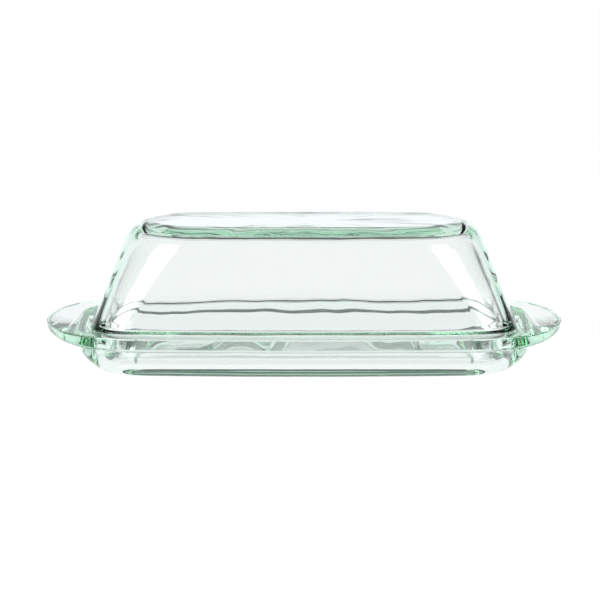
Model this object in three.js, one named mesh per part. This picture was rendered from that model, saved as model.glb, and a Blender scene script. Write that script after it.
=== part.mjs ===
// Covered butter dish in pressed glass: a shallow dish with a tab at each end,
// and a lift-off cover that stands on the ledge inside the dish's rim.
// Millimetres, +Z up. X runs along the dish, Y across it, and Z = 0 is the table.

import * as THREE from 'three';

// Dish: rim and tabs
const RIM_TOP = 16.5; // height of the flat top of the rim
const RIM_THICKNESS = 5.4;
const RIM_HALF_LENGTH = 79.75; // centre to the line that each tab springs from
const RIM_HALF_WIDTH = 41.9;
const RIM_CORNER = 12.6;
const RIM_SIDE_BOW = 2.7;
const RIM_TOP_RADIUS = 0.6;
const RIM_LOW_RADIUS = 1.35;
const RIM_UNDERCUT = THREE.MathUtils.degToRad(4.5); // the rim's edge leans in towards its underside
const TAB_REACH = 22; // how far a tab stands out past its line
const TAB_LIFT = 1.8; // how much thinner a tab is at its tip

// Dish: body under the rim, a quarter ellipse from the foot up to the rim
const BODY_HALF_LENGTH = 86.75;
const BODY_HALF_WIDTH = 36.8;
const BODY_CORNER = 19.75;
const BODY_END_BOW = 1.5;
const BODY_SIDE_BOW = 2.5;
const TAB_ROOT_FILLET = 0.15; // share of the tab's underside that the root fillet takes

// Dish: foot ring around a slightly raised panel
const FOOT_HALF_LENGTH = 72.5;
const FOOT_HALF_WIDTH = 32.25;
const FOOT_CORNER = 9;
const FOOT_WIDTH = 7;
const PANEL_RISE = 0.8;
const PANEL_STEP = 1.5;

// Dish: well for the butter
const FLOOR_HEIGHT = 3.2;
const WELL_CORNER = 11; // at the mouth
const WELL_SLOPE = THREE.MathUtils.degToRad(0.5);
const WELL_FILLET = 4.5;
const MOUTH_RADIUS = 0.6;
const LEDGE_INSIDE_ENDS = 0.3; // how far the ledge runs on inside the cover's foot
const LEDGE_INSIDE_SIDES = 3.2;

// Cover: outside
const COVER_TOP = 55.7;
const COVER_GAP = 0.3; // keeps the cover's foot just clear of the ledge
const COVER_HALF_LENGTH = 81.9; // at the foot
const COVER_HALF_WIDTH = 35.5;
const COVER_FOOT_CORNER = 12;
const COVER_TOP_CORNER = 25; // the corners open out as they rise
const COVER_END_BOW = 1.2;
const COVER_SIDE_BOW = 2.5;
const COVER_END_SLOPE = THREE.MathUtils.degToRad(22);
const COVER_SIDE_SLOPE = THREE.MathUtils.degToRad(15);
const COVER_EDGE_RADIUS = 12;

// Cover: hollow
const FOOT_WALL = 4.2; // wall thickness at the foot
const TOP_WALL = 4.4; // thickness of the flat top
const HOLLOW_FOOT_CORNER = 7;
const HOLLOW_TOP_CORNER = 19;
const HOLLOW_END_SLOPE = THREE.MathUtils.degToRad(23.5);
const HOLLOW_SIDE_SLOPE = THREE.MathUtils.degToRad(15);
const HOLLOW_EDGE_RADIUS = 4.5;
const FOOT_EDGE_RADIUS = 1;

// Facets along each stretch of an outline
const END_STEPS = 6;
const SIDE_STEPS = 14;
const CORNER_STEPS = 8;
const ROUND_STEPS = 5;
const RIM_STEPS = 3;
const MOUTH_STEPS = 3;

const GLASS_COLOUR = '#d3e4dc';
const GLASS_ROUGHNESS = 0.05;
const GLASS_OPACITY = 0.35;

const coverFoot = RIM_TOP + COVER_GAP;
const mouthHalfLength = COVER_HALF_LENGTH - FOOT_WALL - LEDGE_INSIDE_ENDS;
const mouthHalfWidth = COVER_HALF_WIDTH - FOOT_WALL - LEDGE_INSIDE_SIDES;

// Height of a shallow circular crown over a chord of half-length "half", "across" from its middle.
function crown(rise, half, across) {
  const radius = (half * half + rise * rise) / (2 * rise);
  return Math.sqrt(Math.max(radius * radius - across * across, 0)) - (radius - rise);
}

// Points along a quarter turn, without its last point.
function arcRun(centreX, centreY, radius, startAngle) {
  const points = [];
  for (let step = 0; step < CORNER_STEPS; step += 1) {
    const angle = startAngle + (step / CORNER_STEPS) * (Math.PI / 2);
    points.push([centreX + radius * Math.cos(angle), centreY + radius * Math.sin(angle)]);
  }
  return points;
}

// Points along a straight run, without its last point.
function straightRun(from, to, steps) {
  const points = [];
  for (let step = 0; step < steps; step += 1) {
    const share = step / steps;
    points.push([from[0] + (to[0] - from[0]) * share, from[1] + (to[1] - from[1]) * share]);
  }
  return points;
}

// One level outline: a rectangle with round corners, whose ends and sides bow outwards.
function outline(shape, z) {
  const { halfLength, halfWidth, corner, endBow, sideBow } = shape;
  const cornerX = halfLength - corner;
  const cornerY = halfWidth - corner;
  const flat = [
    ...straightRun([halfLength, -cornerY], [halfLength, cornerY], END_STEPS),
    ...arcRun(cornerX, cornerY, corner, 0),
    ...straightRun([cornerX, halfWidth], [-cornerX, halfWidth], SIDE_STEPS),
    ...arcRun(-cornerX, cornerY, corner, Math.PI / 2),
    ...straightRun([-halfLength, cornerY], [-halfLength, -cornerY], END_STEPS),
    ...arcRun(-cornerX, -cornerY, corner, Math.PI),
    ...straightRun([-cornerX, -halfWidth], [cornerX, -halfWidth], SIDE_STEPS),
    ...arcRun(cornerX, -cornerY, corner, Math.PI * 1.5),
  ];
  return flat.map(([x, y]) => {
    const bowX = (crown(endBow, halfWidth, y) * x) / halfLength;
    const bowY = (crown(sideBow, halfLength, x) * y) / halfWidth;
    return new THREE.Vector3(x + bowX, y + bowY, z);
  });
}

// The same outline moved outwards by "offset" on every side; a negative offset moves it in.
function grown(shape, offset) {
  return {
    ...shape,
    halfLength: shape.halfLength + offset,
    halfWidth: shape.halfWidth + offset,
    corner: shape.corner + offset,
  };
}

// The outline that lies "share" of the way from one level outline to another, at height z.
function between(first, second, share, z) {
  return first.map((point, index) => {
    const mixed = point.clone().lerp(second[index], share);
    return mixed.setZ(z);
  });
}

// How far a sloping wall with a rounded edge stands outside the sharp edge that it replaces,
// "depth" away from the flat face at that edge.
function wallOffset(depth, slope, radius) {
  const turn = Math.PI / 2 - slope;
  const roundedDepth = radius * (1 - Math.cos(turn));
  if (depth >= roundedDepth) {
    return depth * Math.tan(slope);
  }
  const rise = radius - depth;
  return Math.sqrt(radius * radius - rise * rise) - radius * Math.tan(turn / 2);
}

// Depths at which a rounded edge needs an outline, from its flat face to where the wall goes on.
function roundedDepths(radius, slope) {
  const turn = Math.PI / 2 - slope;
  const depths = [];
  for (let step = 0; step <= ROUND_STEPS; step += 1) {
    depths.push(radius * (1 - Math.cos((turn * step) / ROUND_STEPS)));
  }
  return depths;
}

// A closed solid through a series of outlines, with a flat face across the first and the last.
function loft(outlines) {
  const around = outlines[0].length;
  const points = outlines.flat();
  const faces = [];
  for (let level = 0; level < outlines.length - 1; level += 1) {
    for (let index = 0; index < around; index += 1) {
      const next = (index + 1) % around;
      const low = level * around;
      const high = low + around;
      faces.push(low + index, low + next, high + next);
      faces.push(low + index, high + next, high + index);
    }
  }
  const firstCentre = points.length;
  const lastCentre = firstCentre + 1;
  const lastLevel = (outlines.length - 1) * around;
  points.push(new THREE.Vector3(0, 0, outlines[0][0].z));
  points.push(new THREE.Vector3(0, 0, outlines[outlines.length - 1][0].z));
  for (let index = 0; index < around; index += 1) {
    const next = (index + 1) % around;
    faces.push(firstCentre, next, index);
    faces.push(lastCentre, lastLevel + index, lastLevel + next);
  }
  const geometry = new THREE.BufferGeometry().setFromPoints(points);
  geometry.setIndex(faces);
  geometry.computeVertexNormals();
  return geometry;
}

function glass() {
  return new THREE.MeshStandardMaterial({
    color: GLASS_COLOUR,
    roughness: GLASS_ROUGHNESS,
    metalness: 0,
    transparent: true,
    opacity: GLASS_OPACITY,
  });
}

// Outlines of the dish's underside: the raised panel, then the flat foot ring.
function footOutlines() {
  const foot = {
    halfLength: FOOT_HALF_LENGTH,
    halfWidth: FOOT_HALF_WIDTH,
    corner: FOOT_CORNER,
    endBow: BODY_END_BOW,
    sideBow: BODY_SIDE_BOW,
  };
  const footInside = grown(foot, -FOOT_WIDTH);
  const panel = grown(footInside, -PANEL_STEP);
  return [outline(panel, PANEL_RISE), outline(footInside, 0), outline(foot, 0)];
}

// Outlines of the body's quarter ellipse, from just above the foot up to the rim's underside.
function bodyOutlines(height) {
  const steps = 2 * ROUND_STEPS - 3;
  const outlines = [];
  for (let step = 1; step <= steps; step += 1) {
    const angle = (step / steps) * (Math.PI / 2);
    const out = Math.sin(angle);
    const shape = {
      halfLength: THREE.MathUtils.lerp(FOOT_HALF_LENGTH, BODY_HALF_LENGTH, out),
      halfWidth: THREE.MathUtils.lerp(FOOT_HALF_WIDTH, BODY_HALF_WIDTH, out),
      corner: THREE.MathUtils.lerp(FOOT_CORNER, BODY_CORNER, out),
      endBow: BODY_END_BOW,
      sideBow: BODY_SIDE_BOW,
    };
    outlines.push(outline(shape, height * (1 - Math.cos(angle))));
  }
  return outlines;
}

// One outline of the rim's edge, tabs included; "inset" is how far its round has drawn it in.
function rimOutline(inset, z) {
  const lean = inset + (RIM_TOP - z) * Math.tan(RIM_UNDERCUT);
  const shape = {
    halfLength: RIM_HALF_LENGTH,
    halfWidth: RIM_HALF_WIDTH - lean,
    corner: RIM_CORNER,
    endBow: TAB_REACH - lean,
    sideBow: RIM_SIDE_BOW,
  };
  return outline(shape, z);
}

// Raises an outline of the rim's underside along each tab, which thins towards its tip.
function thinned(points) {
  return points.map((point) => {
    const share = Math.max(Math.abs(point.x) - RIM_HALF_LENGTH, 0) / TAB_REACH;
    return point.clone().setZ(point.z + TAB_LIFT * share);
  });
}

// Outlines round the rim's edge, from its underside to its flat top.
function rimOutlines() {
  const underside = RIM_TOP - RIM_THICKNESS;
  const low = [];
  const high = [];
  for (let step = 0; step <= RIM_STEPS; step += 1) {
    const turn = (step / RIM_STEPS) * (Math.PI / 2);
    const inward = 1 - Math.sin(turn);
    const upward = 1 - Math.cos(turn);
    low.push(thinned(rimOutline(RIM_LOW_RADIUS * inward, underside + RIM_LOW_RADIUS * upward)));
    high.push(rimOutline(RIM_TOP_RADIUS * inward, RIM_TOP - RIM_TOP_RADIUS * upward));
  }
  return [...low, ...high.reverse()];
}

// Outlines from the ledge's inner edge, over the mouth's small round, down to the floor.
function wellOutlines() {
  const mouth = {
    halfLength: mouthHalfLength,
    halfWidth: mouthHalfWidth,
    corner: WELL_CORNER,
    endBow: COVER_END_BOW,
    sideBow: COVER_SIDE_BOW,
  };
  const height = RIM_TOP - FLOOR_HEIGHT;
  const floor = grown(mouth, -height * Math.tan(WELL_SLOPE));
  const outlines = [];
  for (let step = 0; step < MOUTH_STEPS; step += 1) {
    const turn = (step / MOUTH_STEPS) * (Math.PI / 2);
    const drop = MOUTH_RADIUS * (1 - Math.cos(turn));
    const spread = MOUTH_RADIUS * (1 - Math.sin(turn)) - drop * Math.tan(WELL_SLOPE);
    outlines.push(outline(grown(mouth, spread), RIM_TOP - drop));
  }
  const depths = [height - MOUTH_RADIUS, ...roundedDepths(WELL_FILLET, WELL_SLOPE).reverse()];
  for (const depth of depths) {
    const offset = wallOffset(depth, WELL_SLOPE, WELL_FILLET);
    outlines.push(outline(grown(floor, offset), FLOOR_HEIGHT + depth));
  }
  return outlines;
}

function dish() {
  const body = bodyOutlines(RIM_TOP - RIM_THICKNESS);
  const rim = rimOutlines();
  const bodyTop = body.pop();
  const filletLow = between(bodyTop, rim[0], 0.02, RIM_TOP - RIM_THICKNESS - 0.6);
  const filletHigh = between(bodyTop, rim[0], TAB_ROOT_FILLET, RIM_TOP - RIM_THICKNESS);
  const outlines = [
    ...footOutlines(), ...body, filletLow, filletHigh, ...rim, ...wellOutlines(),
  ];
  const mesh = new THREE.Mesh(loft(outlines), glass());
  mesh.name = 'dish';
  return mesh;
}

// One outline of the cover's outside, "depth" below its top.
function coverOutside(depth) {
  const height = COVER_TOP - coverFoot;
  const endOffset = wallOffset(depth, COVER_END_SLOPE, COVER_EDGE_RADIUS);
  const sideOffset = wallOffset(depth, COVER_SIDE_SLOPE, COVER_EDGE_RADIUS);
  const corner = THREE.MathUtils.lerp(COVER_TOP_CORNER, COVER_FOOT_CORNER, depth / height);
  const shape = {
    halfLength: COVER_HALF_LENGTH - height * Math.tan(COVER_END_SLOPE) + endOffset,
    halfWidth: COVER_HALF_WIDTH - height * Math.tan(COVER_SIDE_SLOPE) + sideOffset,
    corner: corner + Math.min(sideOffset, 0),
    endBow: COVER_END_BOW,
    sideBow: COVER_SIDE_BOW,
  };
  return outline(shape, COVER_TOP - depth);
}

// One outline of the cover's hollow, "depth" below its ceiling.
function coverInside(depth) {
  const ceiling = COVER_TOP - TOP_WALL;
  const height = ceiling - coverFoot;
  const endOffset = wallOffset(depth, HOLLOW_END_SLOPE, HOLLOW_EDGE_RADIUS);
  const sideOffset = wallOffset(depth, HOLLOW_SIDE_SLOPE, HOLLOW_EDGE_RADIUS);
  const corner = THREE.MathUtils.lerp(HOLLOW_TOP_CORNER, HOLLOW_FOOT_CORNER, depth / height);
  const shape = {
    halfLength: COVER_HALF_LENGTH - FOOT_WALL - height * Math.tan(HOLLOW_END_SLOPE) + endOffset,
    halfWidth: COVER_HALF_WIDTH - FOOT_WALL - height * Math.tan(HOLLOW_SIDE_SLOPE) + sideOffset,
    corner: corner + Math.min(sideOffset, 0),
    endBow: COVER_END_BOW,
    sideBow: COVER_SIDE_BOW,
  };
  return outline(shape, ceiling - depth);
}

function cover() {
  const outsideHeight = COVER_TOP - coverFoot;
  const insideHeight = COVER_TOP - TOP_WALL - coverFoot;
  const insideDepths = [
    ...roundedDepths(HOLLOW_EDGE_RADIUS, HOLLOW_END_SLOPE),
    0.6 * insideHeight,
    insideHeight - FOOT_EDGE_RADIUS,
  ];
  const outsideDepths = [
    outsideHeight - FOOT_EDGE_RADIUS,
    0.6 * outsideHeight,
    ...roundedDepths(COVER_EDGE_RADIUS, COVER_END_SLOPE).reverse(),
  ];
  const insideFoot = coverInside(insideHeight);
  const outsideFoot = coverOutside(outsideHeight);
  const edgeShare = FOOT_EDGE_RADIUS / FOOT_WALL;
  const outlines = [
    ...insideDepths.map(coverInside),
    between(insideFoot, outsideFoot, edgeShare, coverFoot),
    between(insideFoot, outsideFoot, 1 - edgeShare, coverFoot),
    ...outsideDepths.map(coverOutside),
  ];
  const mesh = new THREE.Mesh(loft(outlines), glass());
  mesh.name = 'cover';
  return mesh;
}

const butterDish = new THREE.Group();
butterDish.name = 'butter_dish';
butterDish.add(dish(), cover());

export default butterDish;
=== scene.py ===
"""Looks for the covered glass butter dish: fine glass surfaces, glass, floor, light and camera.

Lengths of the dish are written in millimetres, as in the CAD source, and turned into metres
when a mesh is made.
"""

import math

import bpy
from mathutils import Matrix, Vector, noise

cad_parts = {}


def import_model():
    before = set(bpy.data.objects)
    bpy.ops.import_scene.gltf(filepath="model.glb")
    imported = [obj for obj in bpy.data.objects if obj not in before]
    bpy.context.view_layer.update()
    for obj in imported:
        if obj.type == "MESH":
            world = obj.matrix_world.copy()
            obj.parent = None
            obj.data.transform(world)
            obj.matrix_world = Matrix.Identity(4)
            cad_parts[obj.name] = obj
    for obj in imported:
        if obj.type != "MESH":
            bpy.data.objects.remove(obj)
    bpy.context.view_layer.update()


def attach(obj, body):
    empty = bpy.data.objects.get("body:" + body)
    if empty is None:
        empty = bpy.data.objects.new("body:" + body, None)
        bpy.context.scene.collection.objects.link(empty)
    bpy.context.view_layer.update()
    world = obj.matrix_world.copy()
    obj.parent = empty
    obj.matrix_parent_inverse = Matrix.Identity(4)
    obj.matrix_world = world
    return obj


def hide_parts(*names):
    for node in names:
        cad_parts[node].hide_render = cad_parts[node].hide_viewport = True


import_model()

MM = 0.001

# Dish: rim and tabs
RIM_TOP = 16.5
RIM_THICKNESS = 5.4
RIM_HALF_LENGTH = 79.75
RIM_HALF_WIDTH = 41.9
RIM_CORNER = 12.6
RIM_SIDE_BOW = 2.7
RIM_TOP_RADIUS = 0.6
RIM_LOW_RADIUS = 1.35
RIM_UNDERCUT = math.radians(4.5)  # the rim's edge leans in towards its underside
TAB_REACH = 22
TAB_LIFT = 1.8  # how much thinner a tab is at its tip

# Dish: body under the rim
BODY_HALF_LENGTH = 86.75
BODY_HALF_WIDTH = 36.8
BODY_CORNER = 19.75
BODY_END_BOW = 1.5
BODY_SIDE_BOW = 2.5
TAB_ROOT_FILLET = 0.15  # share of the tab's underside that the root fillet takes
TAB_ROOT_DROP = 1.2

# Dish: foot ring around a slightly raised panel
FOOT_HALF_LENGTH = 72.5
FOOT_HALF_WIDTH = 32.25
FOOT_CORNER = 9
FOOT_CORNER_SHRINK = 0.8  # how fast the corners tighten inwards
FOOT_WIDTH = 7
PANEL_RISE = 0.8
PANEL_STEP = 1.5

# Dish: well for the butter
FLOOR_HEIGHT = 3.2
WELL_CORNER = 11  # at the mouth
WELL_SLOPE = math.radians(0.5)
WELL_FILLET = 4.5
MOUTH_RADIUS = 0.6
LEDGE_INSIDE_ENDS = 0.3  # how far the ledge runs on inside the cover's foot
LEDGE_INSIDE_SIDES = 3.2

# Cover: outside
COVER_TOP = 55.7
COVER_GAP = 0.3  # keeps the cover's foot just clear of the ledge
COVER_HALF_LENGTH = 81.9  # at the foot
COVER_HALF_WIDTH = 35.5
COVER_FOOT_CORNER = 12
COVER_TOP_CORNER = 25  # the corners open out as they rise
COVER_END_BOW = 1.2
COVER_SIDE_BOW = 2.5
COVER_END_SLOPE = math.radians(22)
COVER_SIDE_SLOPE = math.radians(15)
COVER_EDGE_RADIUS = 12

# Cover: hollow
FOOT_WALL = 4.2
TOP_WALL = 4.4
HOLLOW_FOOT_CORNER = 7
HOLLOW_TOP_CORNER = 19
HOLLOW_END_SLOPE = math.radians(23.5)
HOLLOW_SIDE_SLOPE = math.radians(15)
HOLLOW_EDGE_RADIUS = 4.5
FOOT_EDGE_RADIUS = 1

# Facets of the fine meshes
END_STEPS = 20
SIDE_STEPS = 60
CORNER_STEPS = 20
ROUND_STEPS = 14
SMALL_ROUND_STEPS = 8
FILLET_STEPS = 6
PANEL_STEPS = 6
WELL_STEPS = 6
WALL_STEPS = 12
FOOT_SHARES = (0.9, 0.5, 0.15, 0)
LEDGE_SHARES = (0.1, 0.5, 0.9)
CAP_SHARES = (0.02, 0.08, 0.2, 0.4, 0.6, 0.8, 0.93)

# Glass: clear, with a green that comes only from the light's path inside it (metres)
GLASS_IOR = 1.52
ABSORB = (0.19, 0.81, 0.44, 1)
ABSORB_DENSITY = 8.0
DISH_RIPPLE = 0.00004
COVER_RIPPLE = 0.00012
RIPPLE_SIZE = 0.016
FINE_RIPPLE = 0.4  # both the size and the height of the finer waves, as a share of the main ones
DISH_SEED = 10
COVER_SEED = 11

# Floor and studio (metres and degrees)
FLOOR_RADIUS = 4
FLOOR_DROP = 0.0001
FLOOR_PAPER = 0.04
FLOOR_GLOW = (0.988, 0.99, 1.01, 1)
WORLD_AXIS = (-0.2, 0.7, -1.95)
WORLD_LIFT = 0.25
WORLD_DIM = (0.12, 0.125, 0.125, 1)
WORLD_BRIGHT = (1.0, 1.02, 1.05, 1)
WORLD_BRIGHT_FROM = 0.55
SOFTBOX_AZIMUTH = 50
SOFTBOX_ELEVATION = 28
SOFTBOX_DISTANCE = 1.6
SOFTBOX_SIZE = 1.2
LEFT_RADIANCE = 5
RIGHT_RADIANCE = 3

# Camera (metres)
CAMERA_ELEVATION = math.radians(11.1)
CAMERA_DISTANCE = 1.1
CAMERA_TARGET = (-0.0016, 0, 0.0234)
CAMERA_SENSOR = 36  # millimetres
VIEW_WIDTH = 0.2374  # how wide the picture is at the target

LIGHT_BOUNCES = 32
GLOSSY_BOUNCES = 16

cover_foot = RIM_TOP + COVER_GAP
mouth_half_length = COVER_HALF_LENGTH - FOOT_WALL - LEDGE_INSIDE_ENDS
mouth_half_width = COVER_HALF_WIDTH - FOOT_WALL - LEDGE_INSIDE_SIDES


def crown(rise, half, across):
    """Height of a shallow circular crown over a chord, "across" from the chord's middle."""
    radius = (half * half + rise * rise) / (2 * rise)
    return math.sqrt(max(radius * radius - across * across, 0)) - (radius - rise)


def straight_run(start, end, steps):
    """Points along a straight run, without its last point."""
    return [
        (start[0] + (end[0] - start[0]) * step / steps, start[1] + (end[1] - start[1]) * step / steps)
        for step in range(steps)
    ]


def arc_run(centre_x, centre_y, radius, quarter):
    """Points along a quarter turn, without its last point."""
    angles = [(quarter + step / CORNER_STEPS) * math.pi / 2 for step in range(CORNER_STEPS)]
    return [(centre_x + radius * math.cos(a), centre_y + radius * math.sin(a)) for a in angles]


def outline(z, half_length, half_width, corner, end_bow, side_bow):
    """One level outline: a rectangle with round corners, whose ends and sides bow outwards."""
    x0 = half_length - corner
    y0 = half_width - corner
    flat = (
        straight_run((half_length, -y0), (half_length, y0), END_STEPS)
        + arc_run(x0, y0, corner, 0)
        + straight_run((x0, half_width), (-x0, half_width), SIDE_STEPS)
        + arc_run(-x0, y0, corner, 1)
        + straight_run((-half_length, y0), (-half_length, -y0), END_STEPS)
        + arc_run(-x0, -y0, corner, 2)
        + straight_run((-x0, -half_width), (x0, -half_width), SIDE_STEPS)
        + arc_run(x0, -y0, corner, 3)
    )
    points = []
    for x, y in flat:
        bow_x = crown(end_bow, half_width, y) * x / half_length
        bow_y = crown(side_bow, half_length, x) * y / half_width
        points.append(Vector((x + bow_x, y + bow_y, z)))
    return points


def between(first, second, share, z):
    """The outline "share" of the way from one level outline to another, at height z."""
    mixed = [a.lerp(b, share) for a, b in zip(first, second)]
    for point in mixed:
        point.z = z
    return mixed


def wall_offset(depth, slope, radius):
    """How far a sloping wall with a rounded edge stands outside its sharp edge."""
    turn = math.pi / 2 - slope
    if depth >= radius * (1 - math.cos(turn)):
        return depth * math.tan(slope)
    rise = radius - depth
    return math.sqrt(radius * radius - rise * rise) - radius * math.tan(turn / 2)


def rounded_depths(radius, slope):
    """The depths at which a wall's rounded edge is cut into level outlines."""
    turn = math.pi / 2 - slope
    return [radius * (1 - math.cos(turn * step / ROUND_STEPS)) for step in range(ROUND_STEPS + 1)]


def spread(start, end, steps):
    """Values from start to end, without start itself."""
    return [start + (end - start) * step / steps for step in range(1, steps + 1)]


def foot_outline(inset, z):
    """One outline of the underside, "inset" inside the foot's outer edge."""
    return outline(
        z,
        FOOT_HALF_LENGTH - inset,
        FOOT_HALF_WIDTH - inset,
        FOOT_CORNER - FOOT_CORNER_SHRINK * inset,
        BODY_END_BOW,
        BODY_SIDE_BOW,
    )


def foot_outlines():
    """From the raised panel down over its step, and out across the foot ring."""
    outlines = []
    for step in range(PANEL_STEPS + 1):
        share = step / PANEL_STEPS
        inset = FOOT_WIDTH + PANEL_STEP * (1 - share)
        rise = PANEL_RISE * (1 + math.cos(math.pi * share)) / 2
        outlines.append(foot_outline(inset, rise))
    for share in FOOT_SHARES:
        outlines.append(foot_outline(share * FOOT_WIDTH, 0))
    return outlines


def body_outlines(height):
    """A quarter ellipse from the foot's edge up to the rim's underside."""
    outlines = []
    steps = 2 * ROUND_STEPS
    for step in range(1, steps + 1):
        angle = math.pi / 2 * step / steps
        out = math.sin(angle)
        shape = (
            FOOT_HALF_LENGTH + (BODY_HALF_LENGTH - FOOT_HALF_LENGTH) * out,
            FOOT_HALF_WIDTH + (BODY_HALF_WIDTH - FOOT_HALF_WIDTH) * out,
            FOOT_CORNER + (BODY_CORNER - FOOT_CORNER) * out,
        )
        outlines.append(outline(height * (1 - math.cos(angle)), *shape, BODY_END_BOW, BODY_SIDE_BOW))
    return outlines


def rim_outline(inset, z):
    """One outline of the rim's edge, which leans in towards its underside."""
    lean = inset + (RIM_TOP - z) * math.tan(RIM_UNDERCUT)
    return outline(
        z, RIM_HALF_LENGTH, RIM_HALF_WIDTH - lean, RIM_CORNER, TAB_REACH - lean, RIM_SIDE_BOW
    )


def thinned(points):
    """Raises the rim's underside along each tab, which thins towards its tip."""
    for point in points:
        point.z += TAB_LIFT * max(abs(point.x) - RIM_HALF_LENGTH, 0) / TAB_REACH
    return points


def rim_outlines():
    """The rim's edge, rounded below and above."""
    underside = RIM_TOP - RIM_THICKNESS
    quarter = [math.pi / 2 * step / SMALL_ROUND_STEPS for step in range(SMALL_ROUND_STEPS + 1)]
    low = [
        (RIM_LOW_RADIUS * (1 - math.sin(a)), underside + RIM_LOW_RADIUS * (1 - math.cos(a)))
        for a in quarter
    ]
    high = [
        (RIM_TOP_RADIUS * (1 - math.sin(a)), RIM_TOP - RIM_TOP_RADIUS * (1 - math.cos(a)))
        for a in reversed(quarter)
    ]
    return [thinned(rim_outline(*place)) for place in low] + [rim_outline(*place) for place in high]


def well_outlines():
    """From the ledge's inner edge over a small round into the well, down to the floor."""
    height = RIM_TOP - FLOOR_HEIGHT
    full_offset = height * math.tan(WELL_SLOPE)

    def level(offset, z):
        half_length = mouth_half_length + offset
        half_width = mouth_half_width + offset
        corner = WELL_CORNER + offset
        return outline(z, half_length, half_width, corner, COVER_END_BOW, COVER_SIDE_BOW)

    outlines = []
    for step in range(SMALL_ROUND_STEPS):
        angle = math.pi / 2 * step / SMALL_ROUND_STEPS
        drop = MOUTH_RADIUS * (1 - math.cos(angle))
        spread_out = MOUTH_RADIUS * (1 - math.sin(angle))
        outlines.append(level(spread_out - drop * math.tan(WELL_SLOPE), RIM_TOP - drop))
    rounded = rounded_depths(WELL_FILLET, WELL_SLOPE)
    depths = spread(height - MOUTH_RADIUS, rounded[-1], WELL_STEPS) + rounded[-2::-1]
    for depth in [height - MOUTH_RADIUS] + depths:
        offset = wall_offset(depth, WELL_SLOPE, WELL_FILLET) - full_offset
        outlines.append(level(offset, FLOOR_HEIGHT + depth))
    return outlines


def dish_outlines():
    """Up the outside of the dish, over the rim and the ledge, and down into the well."""
    underside = RIM_TOP - RIM_THICKNESS
    body = body_outlines(underside)
    rim = rim_outlines()
    body_top = body.pop()
    fillet = []
    for step in range(1, FILLET_STEPS + 1):
        angle = math.pi / 2 * step / FILLET_STEPS
        share = TAB_ROOT_FILLET * (1 - math.cos(angle))
        height = underside - TAB_ROOT_DROP * (1 - math.sin(angle))
        fillet.append(between(body_top, rim[0], share, height))
    body = [level for level in body if level[0].z < underside - TAB_ROOT_DROP]
    well = well_outlines()
    ledge = [between(rim[-1], well[0], share, RIM_TOP) for share in LEDGE_SHARES]
    return foot_outlines() + body + fillet + rim + ledge + well


def cover_outline(depth, top, wall, slopes, corners, edge_radius):
    """One outline of the cover's outer or inner surface, "wall" inside its outer foot."""
    end_slope, side_slope = slopes
    top_corner, foot_corner = corners
    height = top - cover_foot
    end_offset = wall_offset(depth, end_slope, edge_radius)
    side_offset = wall_offset(depth, side_slope, edge_radius)
    return outline(
        top - depth,
        COVER_HALF_LENGTH - wall - height * math.tan(end_slope) + end_offset,
        COVER_HALF_WIDTH - wall - height * math.tan(side_slope) + side_offset,
        top_corner + (foot_corner - top_corner) * depth / height + min(side_offset, 0),
        COVER_END_BOW,
        COVER_SIDE_BOW,
    )


def cover_outside(depth):
    slopes = (COVER_END_SLOPE, COVER_SIDE_SLOPE)
    corners = (COVER_TOP_CORNER, COVER_FOOT_CORNER)
    return cover_outline(depth, COVER_TOP, 0, slopes, corners, COVER_EDGE_RADIUS)


def cover_inside(depth):
    slopes = (HOLLOW_END_SLOPE, HOLLOW_SIDE_SLOPE)
    corners = (HOLLOW_TOP_CORNER, HOLLOW_FOOT_CORNER)
    ceiling = COVER_TOP - TOP_WALL
    return cover_outline(depth, ceiling, FOOT_WALL, slopes, corners, HOLLOW_EDGE_RADIUS)


def cover_outlines():
    """Down the hollow, round the cover's foot and up the outside."""
    outside_height = COVER_TOP - cover_foot
    inside_height = outside_height - TOP_WALL
    inside = rounded_depths(HOLLOW_EDGE_RADIUS, HOLLOW_END_SLOPE)
    inside += spread(inside[-1], inside_height - FOOT_EDGE_RADIUS, WALL_STEPS)
    outside = rounded_depths(COVER_EDGE_RADIUS, COVER_END_SLOPE)
    outside += spread(outside[-1], outside_height - FOOT_EDGE_RADIUS, WALL_STEPS)
    outlines = [cover_inside(depth) for depth in inside]
    foot_inside = cover_inside(inside_height)
    foot_outside = cover_outside(outside_height)
    edge = FOOT_EDGE_RADIUS / FOOT_WALL
    quarter = [math.pi / 2 * step / FILLET_STEPS for step in range(1, FILLET_STEPS + 1)]
    for angle in quarter:
        rise = FOOT_EDGE_RADIUS * (1 - math.sin(angle))
        share = edge * (1 - math.cos(angle))
        outlines.append(between(foot_inside, foot_outside, share, cover_foot + rise))
    outlines.append(between(foot_inside, foot_outside, 0.5, cover_foot))
    for angle in reversed(quarter):
        rise = FOOT_EDGE_RADIUS * (1 - math.sin(angle))
        share = 1 - edge * (1 - math.cos(angle))
        outlines.append(between(foot_inside, foot_outside, share, cover_foot + rise))
    outlines += [cover_outside(depth) for depth in reversed(outside)]
    return outlines


def with_caps(outlines):
    """Adds shrinking outlines inside the first and the last, so that both flat faces are closed."""
    def cap(edge):
        centre = [Vector((0, 0, edge[0].z))] * len(edge)
        return [between(edge, centre, share, edge[0].z) for share in CAP_SHARES]

    return cap(outlines[0])[::-1] + outlines + cap(outlines[-1])


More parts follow.
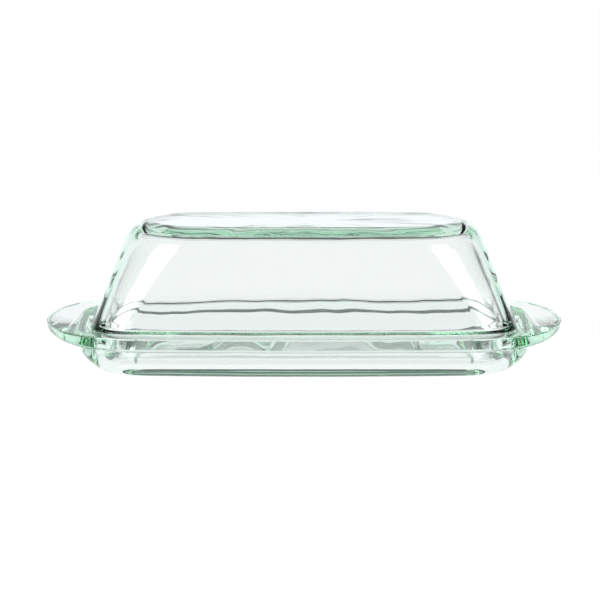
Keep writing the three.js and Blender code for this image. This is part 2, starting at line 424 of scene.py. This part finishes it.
def loft(name, outlines):
    """A closed mesh through a series of outlines, in metres."""
    levels = with_caps(outlines)
    around = len(levels[0])
    points = [point * MM for level in levels for point in level]
    faces = []
    for low in range(0, (len(levels) - 1) * around, around):
        high = low + around
        for index in range(around):
            following = (index + 1) % around
            faces.append((low + index, low + following, high + following, high + index))
    last = (len(levels) - 1) * around
    first_centre = len(points)
    points.append(Vector((0, 0, levels[0][0].z * MM)))
    points.append(Vector((0, 0, levels[-1][0].z * MM)))
    for index in range(around):
        following = (index + 1) % around
        faces.append((first_centre, following, index))
        faces.append((first_centre + 1, last + index, last + following))
    mesh = bpy.data.meshes.new(name)
    mesh.from_pydata([tuple(p) for p in points], [], faces)
    mesh.shade_smooth()
    piece = bpy.data.objects.new(name, mesh)
    bpy.context.collection.objects.link(piece)
    return piece


def ripple(piece, height, seed):
    """The slight waviness that pressing leaves in glass: moves each point along its normal."""
    mesh = piece.data
    normals = [vertex.normal.copy() for vertex in mesh.vertices]
    offset = Vector((seed, 2 * seed, 3 * seed))
    for vertex, normal in zip(mesh.vertices, normals):
        wave = noise.noise(vertex.co / RIPPLE_SIZE + offset)
        wave += FINE_RIPPLE * noise.noise(vertex.co / (FINE_RIPPLE * RIPPLE_SIZE) + 2 * offset)
        vertex.co += normal * (height * wave)
    mesh.update()


def glass_material(name):
    """Smooth clear glass that absorbs more red and blue than green."""
    material = bpy.data.materials.new(name)
    material.use_nodes = True
    tree = material.node_tree
    shader = tree.nodes["Principled BSDF"]
    shader.inputs["Base Color"].default_value = (1, 1, 1, 1)
    shader.inputs["Roughness"].default_value = 0.0
    shader.inputs["IOR"].default_value = GLASS_IOR
    shader.inputs["Transmission Weight"].default_value = 1.0
    absorption = tree.nodes.new("ShaderNodeVolumeAbsorption")
    absorption.inputs["Color"].default_value = ABSORB
    absorption.inputs["Density"].default_value = ABSORB_DENSITY
    output = tree.nodes["Material Output"]
    tree.links.new(absorption.outputs["Volume"], output.inputs["Volume"])
    return material


def glass_piece(name, outlines, ripple_height, seed, body, node):
    """One pressing, which rides on its body and takes the place of its CAD node."""
    piece = loft(name, outlines)
    ripple(piece, ripple_height, seed)
    piece.data.materials.append(glass_material(name + "_material"))
    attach(piece, body)
    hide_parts(node)


def floor():
    """A pale round floor that glows evenly, so that hardly any shadow shows on it."""
    bpy.ops.mesh.primitive_circle_add(vertices=128, radius=FLOOR_RADIUS, fill_type="NGON")
    plane = bpy.context.object
    plane.name = "floor"
    plane.location.z = -FLOOR_DROP
    material = bpy.data.materials.new("floor_paper")
    material.use_nodes = True
    shader = material.node_tree.nodes["Principled BSDF"]
    shader.inputs["Base Color"].default_value = (FLOOR_PAPER, FLOOR_PAPER, FLOOR_PAPER, 1)
    shader.inputs["Roughness"].default_value = 1.0
    shader.inputs["Specular IOR Level"].default_value = 0.0
    shader.inputs["Emission Color"].default_value = FLOOR_GLOW
    shader.inputs["Emission Strength"].default_value = 1.0
    plane.data.materials.append(material)


def world():
    """A studio: a bright sweep low behind the dish, dim overhead and on the camera's side."""
    scene_world = bpy.data.worlds.new("studio")
    bpy.context.scene.world = scene_world
    scene_world.use_nodes = True
    tree = scene_world.node_tree
    background = tree.nodes["Background"]
    place = tree.nodes.new("ShaderNodeTexCoord")
    towards = tree.nodes.new("ShaderNodeVectorMath")
    towards.operation = "DOT_PRODUCT"
    towards.inputs[1].default_value = WORLD_AXIS
    ramp = tree.nodes.new("ShaderNodeValToRGB")
    tree.links.new(place.outputs["Generated"], towards.inputs[0])
    lifted = tree.nodes.new("ShaderNodeMath")
    lifted.inputs[1].default_value = WORLD_LIFT
    tree.links.new(towards.outputs["Value"], lifted.inputs[0])
    tree.links.new(lifted.outputs["Value"], ramp.inputs["Fac"])
    tree.links.new(ramp.outputs["Color"], background.inputs["Color"])
    stops = ramp.color_ramp.elements
    stops[0].position = 0.0
    stops[0].color = WORLD_DIM
    stops[1].position = WORLD_BRIGHT_FROM
    stops[1].color = WORLD_BRIGHT


def softbox(name, azimuth, radiance):
    """A square soft light that faces the dish from the front, to one side."""
    az = math.radians(azimuth)
    el = math.radians(SOFTBOX_ELEVATION)
    light = bpy.data.lights.new(name, "AREA")
    light.shape = "RECTANGLE"
    light.size = SOFTBOX_SIZE
    light.size_y = SOFTBOX_SIZE
    light.energy = radiance * math.pi * SOFTBOX_SIZE * SOFTBOX_SIZE
    lamp = bpy.data.objects.new(name, light)
    away = Vector((math.sin(az) * math.cos(el), -math.cos(az) * math.cos(el), math.sin(el)))
    lamp.location = away * SOFTBOX_DISTANCE
    lamp.rotation_euler = away.to_track_quat("Z", "Y").to_euler()
    bpy.context.collection.objects.link(lamp)


def camera():
    """Looks along +Y and a little down, from the front, square on."""
    data = bpy.data.cameras.new("camera")
    data.sensor_width = CAMERA_SENSOR
    data.lens = CAMERA_SENSOR * CAMERA_DISTANCE / VIEW_WIDTH
    view = bpy.data.objects.new("camera", data)
    back = Vector((0, -math.cos(CAMERA_ELEVATION), math.sin(CAMERA_ELEVATION)))
    view.location = Vector(CAMERA_TARGET) + back * CAMERA_DISTANCE
    view.rotation_euler = back.to_track_quat("Z", "Y").to_euler()
    bpy.context.collection.objects.link(view)
    bpy.context.scene.camera = view


glass_piece("dish_glass", dish_outlines(), DISH_RIPPLE, DISH_SEED, "dish", "dish")
glass_piece("cover_glass", cover_outlines(), COVER_RIPPLE, COVER_SEED, "cover", "cover")
floor()
world()
softbox("left_softbox", -SOFTBOX_AZIMUTH, LEFT_RADIANCE)
softbox("right_softbox", SOFTBOX_AZIMUTH, RIGHT_RADIANCE)
camera()

scene = bpy.context.scene
scene.view_settings.view_transform = "Standard"
scene.cycles.max_bounces = LIGHT_BOUNCES
scene.cycles.transmission_bounces = LIGHT_BOUNCES
scene.cycles.glossy_bounces = GLOSSY_BOUNCES
